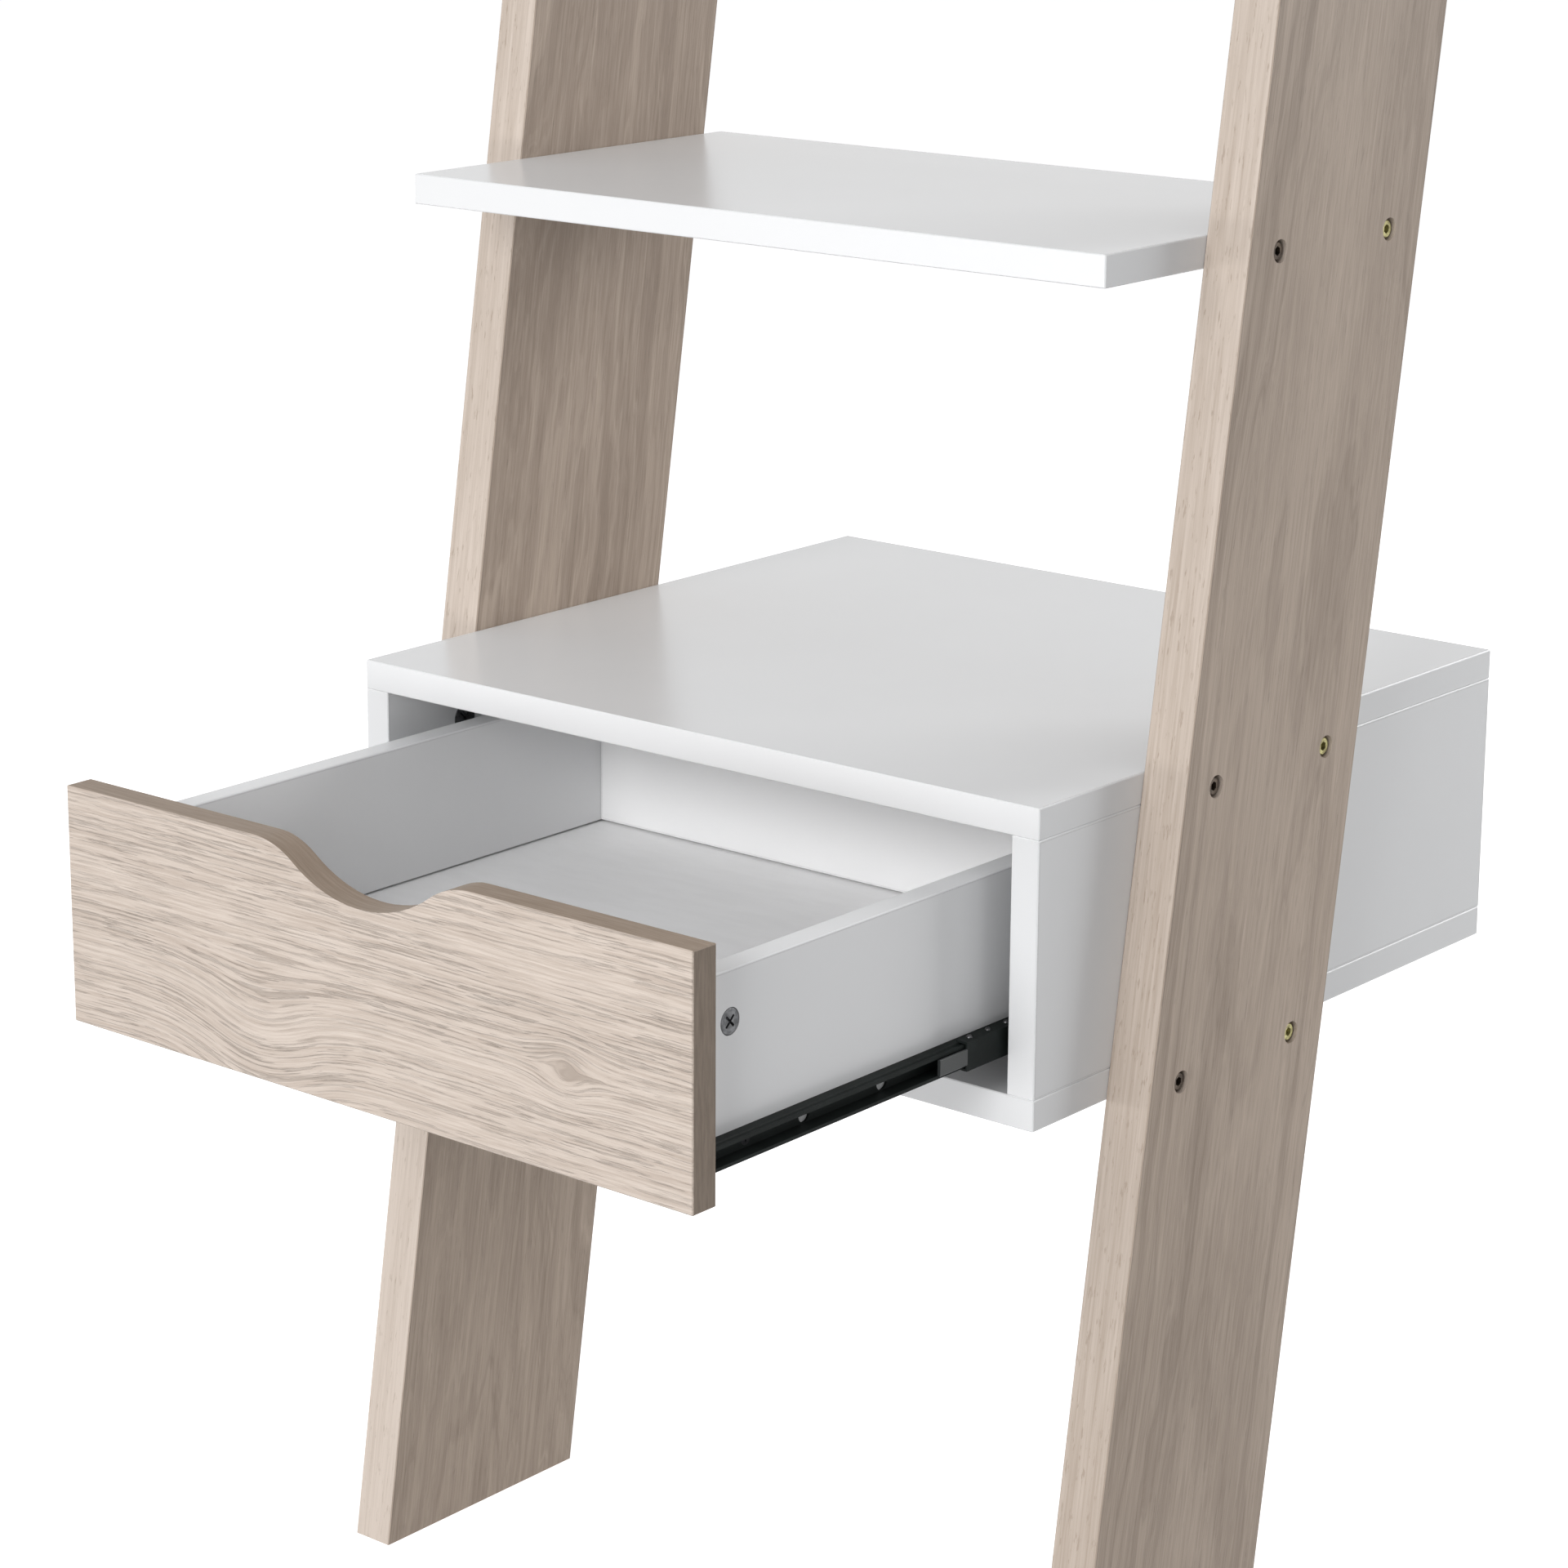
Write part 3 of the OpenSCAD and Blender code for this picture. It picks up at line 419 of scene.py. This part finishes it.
# Painted light: the drawer's sides, back and bottom get brighter whites than the cabinet's panels, to
# lighten the inside of the drawer
for name in ("drawer_left_side", "drawer_right_side"):
    melamine(name, X, (0.785, 0.789, 0.797))
melamine("drawer_back", Y, (0.917, 0.919, 0.925))
hardboard("drawer_bottom", (0.945, 0.943, 0.945))
hardboard("cabinet_back", (0.74, 0.745, 0.75))
leg_screw_zinc("left_leg_screws", "right_leg_screws", "cabinet_bottom_screws")
plated("bright_zinc", (0.62, 0.63, 0.65), (0.44, 0.45, 0.47), 0.3,
       "cabinet_cam_bolts", "drawer_cam_bolts", "drawer_back_screws", "drawer_bottom_screws",
       "left_wall_bracket", "right_wall_bracket", "bracket_screws")
plated("cast_zinc", (0.17, 0.172, 0.178), (0.085, 0.087, 0.09), 0.5, "cabinet_cams", "drawer_cams")
plated("ball_steel", (0.12, 0.12, 0.125), (0.06, 0.06, 0.062), 0.35, "left_balls", "right_balls")
coated("black_rail", (0.0065, 0.0085, 0.008), 0.58, 12.0,
       "left_cabinet_rail", "right_cabinet_rail", "left_drawer_rail", "right_drawer_rail",
       "left_ball_cage", "right_ball_cage")
coated("black_screw", (0.022, 0.022, 0.024), 0.38, 900.0, "cabinet_rail_screws", "drawer_rail_screws")
moulded("grey_plastic", (0.014, 0.0165, 0.0165), "left_cage_block", "right_cage_block")
beech("leg_dowels", "cabinet_dowels", "drawer_dowels")


# ---------------------------------------------------------------- floor, light and camera


def quad(name, centre, size):
    mesh = bpy.data.meshes.new(name)
    a, b = size[0] / 2, size[1] / 2
    mesh.from_pydata([(-a, -b, 0), (a, -b, 0), (a, b, 0), (-a, b, 0)], [], [(0, 1, 2, 3)])
    ob = bpy.data.objects.new(name, mesh)
    ob.location = centre
    bpy.context.scene.collection.objects.link(ob)
    return ob


def studio_floor():
    """A white floor that glows a little, so that it runs into the backdrop."""
    g = Graph("studio_floor")
    speck = g.noise(g.place, 3.0, 2.0, 0.5)
    g.link(g.mix(speck, (0.80, 0.80, 0.80), (0.82, 0.82, 0.82)), g.bsdf.inputs["Base Color"])
    g.bsdf.inputs["Roughness"].default_value = 0.9
    g.bsdf.inputs["Specular IOR Level"].default_value = 0.0
    g.bsdf.inputs["Emission Color"].default_value = (1, 1, 1, 1)
    g.bsdf.inputs["Emission Strength"].default_value = 0.62
    ob = quad("studio_floor", (0, 0, 0), (60, 60))
    ob.data.materials.append(g.mat)
    ob.visible_diffuse = False


def backdrop():
    """A white shell that only the camera and glossy reflections see."""
    mesh = bpy.data.meshes.new("backdrop")
    ob = bpy.data.objects.new("backdrop", mesh)
    bm = bmesh.new()
    bmesh.ops.create_uvsphere(bm, u_segments=48, v_segments=24, radius=28.0)
    bm.to_mesh(mesh)
    bm.free()
    bpy.context.scene.collection.objects.link(ob)
    mat = bpy.data.materials.new("backdrop")
    mat.use_nodes = True
    tree = mat.node_tree
    tree.nodes.clear()
    glow = tree.nodes.new("ShaderNodeEmission")
    glow.inputs["Color"].default_value = (1, 1, 1, 1)
    glow.inputs["Strength"].default_value = 1.05
    out = tree.nodes.new("ShaderNodeOutputMaterial")
    tree.links.new(glow.outputs[0], out.inputs["Surface"])
    ob.data.materials.append(mat)
    ob.visible_diffuse = False
    ob.visible_shadow = False
    ob.visible_transmission = False


def area_light(name, spot, aim, size, power):
    light = bpy.data.lights.new(name, "AREA")
    light.shape = "RECTANGLE"
    light.size, light.size_y = size
    light.energy = power
    ob = bpy.data.objects.new(name, light)
    ob.location = spot
    ob.rotation_mode = "QUATERNION"
    ob.rotation_quaternion = (Vector(aim) - Vector(spot)).to_track_quat("-Z", "Y")
    bpy.context.scene.collection.objects.link(ob)
    return ob


def studio_sky(below, level, above):
    """Soft light from all round: its strength below, at and above eye level."""
    world = bpy.data.worlds.new("studio")
    world.use_nodes = True
    tree = world.node_tree
    place = tree.nodes.new("ShaderNodeTexCoord")
    parts = tree.nodes.new("ShaderNodeSeparateXYZ")
    ramp = tree.nodes.new("ShaderNodeValToRGB")
    shift = tree.nodes.new("ShaderNodeMapRange")
    shift.inputs["From Min"].default_value = -1.0
    tree.links.new(place.outputs["Generated"], parts.inputs[0])
    tree.links.new(parts.outputs["Z"], shift.inputs["Value"])
    tree.links.new(shift.outputs[0], ramp.inputs[0])
    stops = ramp.color_ramp.elements
    stops[0].position, stops[1].position = 0.46, 0.95
    middle = stops.new(0.52)
    for stop, v in ((stops[0], below), (middle, level), (stops[2], above)):
        stop.color = (v * 0.985, v * 0.99, v, 1)
    tree.links.new(ramp.outputs[0], tree.nodes["Background"].inputs["Color"])
    tree.nodes["Background"].inputs["Strength"].default_value = 1.0
    bpy.context.scene.world = world


studio_floor()
backdrop()
studio_sky(0.35, 0.28, 0.54)

AIM = (0.0, 0.0, 0.6)
LOW_AIM = (0.0, 0.0, 0.33)
# The powers were fitted so that each face comes close to its tone in the photo
area_light("key", (0.5, -4.8, 2.4), AIM, (2.8, 1.4), 138)
area_light("high_key", (0.5, -4.4, 3.5), AIM, (2.8, 1.4), 27)
area_light("low_fill_right", (0.9, -4.6, 0.24), LOW_AIM, (2.6, 0.36), 52)
area_light("low_fill_left", (-1.6, -4.4, 0.24), LOW_AIM, (2.0, 0.36), 27)
area_light("back_right", (1.4, 2.7, 1.6), AIM, (1.6, 1.6), 48)

# The photo's own camera, fitted to the object's straight edges
camera = bpy.data.cameras.new("camera")
camera.sensor_width = 36.0
camera.lens = 96.225
camera.shift_x = 0.0628
camera.shift_y = -0.0677
camera.clip_start, camera.clip_end = 0.05, 100.0
view = bpy.data.objects.new("camera", camera)
view.location = (1.2548, -1.5402, 1.0001)
view.rotation_euler = (math.radians(90 - 14.205), 0.0, math.radians(40.745))
bpy.context.scene.collection.objects.link(view)
bpy.context.scene.camera = view
bpy.context.scene.view_settings.view_transform = "Standard"
